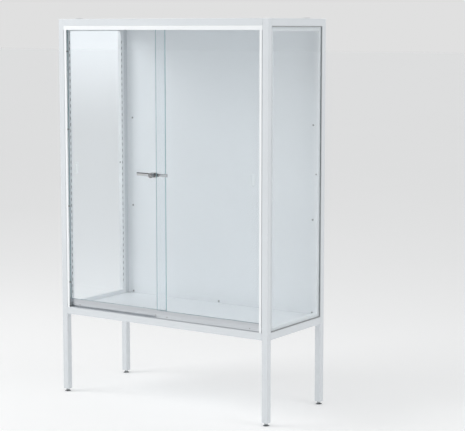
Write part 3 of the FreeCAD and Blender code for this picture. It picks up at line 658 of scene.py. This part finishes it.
def make_lock_body():
    """The die-cast case, open along X for the bar, and its turned barrel."""
    low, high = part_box("lock_body")
    plug_low, plug_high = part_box("lock_plug")
    centre_x, centre_z = (plug_low[0] + plug_high[0]) / 2, (plug_low[2] + plug_high[2]) / 2
    block_front, block_rear = low[1] + BARREL_L, high[1]
    bar_low, bar_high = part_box("lock_bar")
    slot_front = bar_low[1] + BAR_RIVET_H - BAR_SLACK
    slot_rear = bar_low[1] + BAR_RIVET_H + BAR_THICK + BAR_SLACK
    slot_low, slot_high = bar_low[2] - BAR_SLACK, bar_high[2] + BAR_SLACK
    piece = Piece(DARKENED_CHROME)

    def section(x, inset):
        r = CASE_CORNER - inset / 2
        y0, y1 = block_front + inset, block_rear - inset
        z0, z1 = centre_z - CASE_HALF_H + inset, centre_z + CASE_HALF_H - inset
        corners = ((y0 + r, z0 + r, 270), (y0 + r, z1 - r, 180), (y1 - r, z1 - r, 90), (y1 - r, z0 + r, 0))
        points = [point for y, z, start in corners for point in arc(y, z, r, start, -90, CASE_ARC_STEPS)]
        return [(x, y, z) for y, z in points]

    part_soft = CASE_SOFT * SOFT_SHARE
    outer = [piece.loop(section(x, inset)) for x, inset in (
        (low[0], CASE_SOFT), (low[0] + part_soft, part_soft), (low[0] + CASE_SOFT, 0),
        (high[0] - CASE_SOFT, 0), (high[0] - part_soft, part_soft), (high[0], CASE_SOFT))]
    for one, other in zip(outer, outer[1:]):
        piece.bridge(one[0], other[0])
    slot = [piece.loop([(x, slot_front, slot_low), (x, slot_front, slot_high),
                        (x, slot_rear, slot_high), (x, slot_rear, slot_low)]) for x in (low[0], high[0])]
    piece.bridge(slot[0][0], slot[1][0])
    piece.fill(outer[0], slot[0])
    piece.fill(outer[-1], slot[1])

    length = block_front - low[1]
    barrel = list(BARREL_FOOT)
    barrel += [(BARREL_R - inset * MM, length - back * MM) for inset, back in BARREL_FRONT]
    barrel += [(BORE_R + wider * MM, length - back * MM) for wider, back in BORE_MOUTH]
    piece.lathe(Vector((centre_x, block_front, centre_z)), -BACK, barrel, segments=56)
    piece.finish("cast_lock_body", "lock_case", "lock_chrome", ["lock_body"])


def make_lock_plug():
    """The key plug, its face turned and slotted for the key."""
    low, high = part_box("lock_plug")
    centre = Vector(((low[0] + high[0]) / 2, low[1], (low[2] + high[2]) / 2))
    radius = (high[0] - low[0]) / 2
    length = high[1] - low[1]
    shoulder = PLUG_TAIL_L - length
    piece = Piece(DARKENED_CHROME)
    profile = [(PLUG_TAIL_R, -length), (PLUG_TAIL_R, shoulder), (radius, shoulder),
               (radius, -PLUG_CHAMFER), (radius - PLUG_CHAMFER, 0)]
    rim = piece.lathe(centre, -BACK, profile, segments=40, open_top=True)
    outlines = [[(centre.x + a * KEY_HALF_W, centre.y + y, centre.z + b * KEY_HALF_H) for a, b in KEY_OUTLINE]
                for y in (0, KEY_DEPTH)]
    piece.recess(rim, outlines)
    piece.finish("turned_lock_plug", "lock_key_plug", "lock_chrome", ["lock_plug"])


# ------------------------------------------------------------------ studio
FLOOR_HALF = 80
CARD_PLACE, CARD_TURN, CARD_FADE = (-4.3, 4.7, 1.0), 39, (0.6, 1.5)      # metres, degrees, heights
SKY = 0.745     # brightness of the plain background


def make_square(name, half, place, material):
    """A flat square that belongs to the studio."""
    bm = bmesh.new()
    bmesh.ops.create_grid(bm, x_segments=1, y_segments=1, size=half, matrix=place)
    mesh = bpy.data.meshes.new(name)
    bm.to_mesh(mesh)
    bm.free()
    mesh.materials.append(material)
    square = bpy.data.objects.new(name, mesh)
    bpy.context.scene.collection.objects.link(square)
    return square


def make_floor():
    make_square("studio_floor", FLOOR_HALF, Matrix.Identity(4), floor_paper())


def make_world():
    """A plain pale room: even where the camera sees it, brighter low and at the rear left where it lights."""
    world = bpy.data.worlds.new("soft_studio")
    bpy.context.scene.world = world
    world.use_nodes = True
    tree = world.node_tree
    tree.nodes.clear()

    def node(kind, inputs=None, **settings):
        made = tree.nodes.new(kind)
        for key, value in settings.items():
            setattr(made, key, value)
        for key, value in (inputs or {}).items():
            if isinstance(value, bpy.types.NodeSocket):
                tree.links.new(value, made.inputs[key])
            else:
                made.inputs[key].default_value = value
        return made

    direction = node("ShaderNodeTexCoord").outputs["Generated"]

    def lobe(towards, start, end, low, high):
        """Brightness that goes from low to high as a ray turns towards a direction."""
        turn = node("ShaderNodeVectorMath", {0: direction, 1: Vector(towards).normalized()},
                    operation="DOT_PRODUCT").outputs["Value"]
        inputs = {"Value": turn, "From Min": start, "From Max": end, "To Min": low, "To Max": high}
        return node("ShaderNodeMapRange", inputs, interpolation_type="SMOOTHSTEP").outputs["Result"]

    upward = lobe(towards=(0, 0, 1), start=0.0, end=0.3, low=0.72, high=0.60)
    rear_left = lobe(towards=(-0.62, 0.78, 0.02), start=0.955, end=0.999, low=0.0, high=0.45)
    light = node("ShaderNodeMath", {0: upward, 1: rear_left}, operation="ADD").outputs["Value"]
    seen = node("ShaderNodeLightPath").outputs["Is Camera Ray"]
    plain = node("ShaderNodeBackground", {"Color": (1, 1, 1, 1), "Strength": SKY}).outputs["Background"]
    tinted = {"Color": (0.985, 0.995, 1.0, 1), "Strength": light}
    soft = node("ShaderNodeBackground", tinted).outputs["Background"]
    mixed = node("ShaderNodeMixShader", {0: seen, 1: soft, 2: plain}).outputs["Shader"]
    tree.links.new(mixed, node("ShaderNodeOutputWorld").inputs["Surface"])


def add_lamp(name, place, target, width, height, power, colour):
    """A rectangular lamp in watts that faces its target and is not seen itself."""
    light = bpy.data.lights.new(name, "AREA")
    light.shape = "RECTANGLE"
    light.size = width
    light.size_y = height
    light.energy = power
    light.color = colour
    lamp = bpy.data.objects.new(name, light)
    lamp.location = place
    lamp.rotation_euler = (Vector(target) - Vector(place)).to_track_quat("-Z", "Y").to_euler()
    lamp.visible_camera = False
    lamp.visible_transmission = False
    bpy.context.scene.collection.objects.link(lamp)
    return lamp


def make_card():
    """A graded glow behind the left pane, which shows through glass and in reflections only."""
    upright = Matrix.Rotation(math.radians(CARD_TURN), 4, "Z") @ Matrix.Rotation(math.radians(90), 4, "X")
    card = make_square("studio_card", 1, Matrix.Translation(CARD_PLACE) @ upright, glow(*CARD_FADE))
    card.visible_camera = False
    card.visible_diffuse = False
    card.visible_shadow = False


def make_lamps():
    add_lamp("key_left", place=(-2.5, -1.8, 2.7), target=(0, 0, 0.75), width=1.8, height=1.8, power=40,
             colour=(1.0, 0.998, 0.995))
    add_lamp("fill_right", place=(3.6, 0.0, 2.0), target=(0, 0, 0.9), width=1.8, height=1.8, power=24,
             colour=(0.98, 0.99, 1.0))
    front = add_lamp("front_low", place=(0.2, -3.8, 0.7), target=(0, 0, 1.5), width=1.8, height=1.2,
                     power=19, colour=(1.0, 1.0, 1.0))
    front.visible_glossy = False


CAMERA_PLACE = (3.313, -4.644, 1.459)
CAMERA_DOWN, CAMERA_TURN = 6.894, 33.802      # degrees below level, and round from the front
SENSOR_MM, LENS_MM, LENS_SHIFT, FAR_CLIP = 36, 113.14, -0.02, 200


def make_camera():
    """The camera stands to the right of the front, at about the height of the top."""
    camera = bpy.data.cameras.new("camera")
    camera.sensor_width = SENSOR_MM
    camera.lens = LENS_MM
    camera.shift_y = LENS_SHIFT
    camera.clip_end = FAR_CLIP
    obj = bpy.data.objects.new("camera", camera)
    obj.location = CAMERA_PLACE
    obj.rotation_euler = (math.radians(90 - CAMERA_DOWN), 0, math.radians(CAMERA_TURN))
    bpy.context.scene.collection.objects.link(obj)
    bpy.context.scene.camera = obj


make_floor()
make_world()
make_lamps()
make_card()
make_camera()
paint_cad_nodes()
make_panes()
for door in ("front_door", "rear_door"):
    make_door_rail(door)
    make_axles(door)
make_slot_shade_strips()
make_screws()
make_buttons()
for end, _ in ENDS:
    for side, _ in SIDES:
        make_foot("foot_%s_%s" % (end, side))
make_lock_bar()
make_lock_body()
make_lock_plug()

bpy.context.scene.view_settings.view_transform = "Standard"
bpy.context.scene.view_settings.look = "None"
